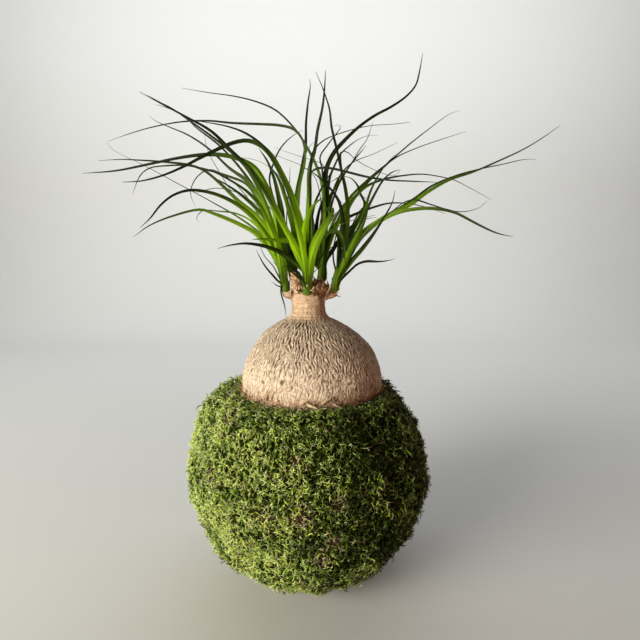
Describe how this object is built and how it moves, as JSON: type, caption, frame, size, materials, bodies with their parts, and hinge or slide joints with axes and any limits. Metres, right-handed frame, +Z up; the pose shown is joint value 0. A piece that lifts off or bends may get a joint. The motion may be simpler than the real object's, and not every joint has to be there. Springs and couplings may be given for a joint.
{
  "type": "kokedama plant",
  "caption": "Ponytail palm kokedama: a swollen corky trunk planted in a moss-covered soil ball, with a fountain of narrow arching leaves; stands free as a table decoration.",
  "frame": {"origin": "Centre of the small flat spot under the moss ball that it rests on, at table height.", "axes": "+X to the plant's right as seen from the front, +Y away from the viewer to its back, +Z up along the axis of the moss ball and of the trunk's neck."},
  "size_m": [0.3249, 0.2244, 0.3733],
  "materials": {
    "moss": "matte",
    "soil": "matte",
    "bark": "matte",
    "leaf": "satin"
  },
  "bodies": {
    "root": {"moss_cover": "moss", "soil_ball": "soil", "trunk": "bark", "shoot_left": "leaf", "shoot_front": "leaf", "shoot_right": "leaf", "shoot_back_right": "leaf", "shoot_back_left": "leaf"}
  },
  "joints": []
}
